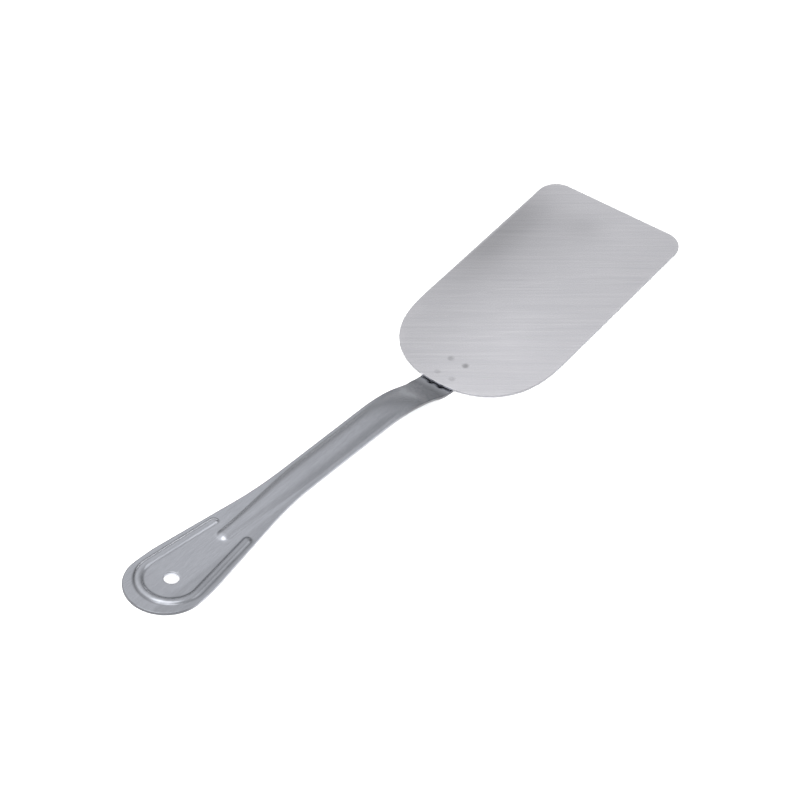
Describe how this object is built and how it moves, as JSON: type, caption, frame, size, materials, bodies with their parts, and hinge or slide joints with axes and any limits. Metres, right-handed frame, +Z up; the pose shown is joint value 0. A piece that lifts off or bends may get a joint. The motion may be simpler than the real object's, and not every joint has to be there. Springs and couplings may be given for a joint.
{
  "type": "grill spatula",
  "caption": "Solid stainless steel turner: a flat plain blade spot-welded onto a one-piece stamped handle with a stiffening rib, a raised U bead and a hanging hole.",
  "frame": {"origin": "middle of the underside of the bounding box, so that the tang's flat underside lies on Z = 0", "axes": "+X along the turner, from the handle's end to the blade's far edge; +Z up, out of the blade's cooking face; +Y to the left, across the blade"},
  "size_m": [0.3386, 0.0762, 0.0349],
  "materials": {
    "blade_steel": "brushed",
    "handle_steel": "brushed",
    "weld_steel": "dull"
  },
  "bodies": {
    "root": {"blade": "blade_steel", "handle": "handle_steel", "spot_weld_1": "weld_steel", "spot_weld_2": "weld_steel", "spot_weld_3": "weld_steel", "spot_weld_4": "weld_steel"}
  },
  "joints": []
}
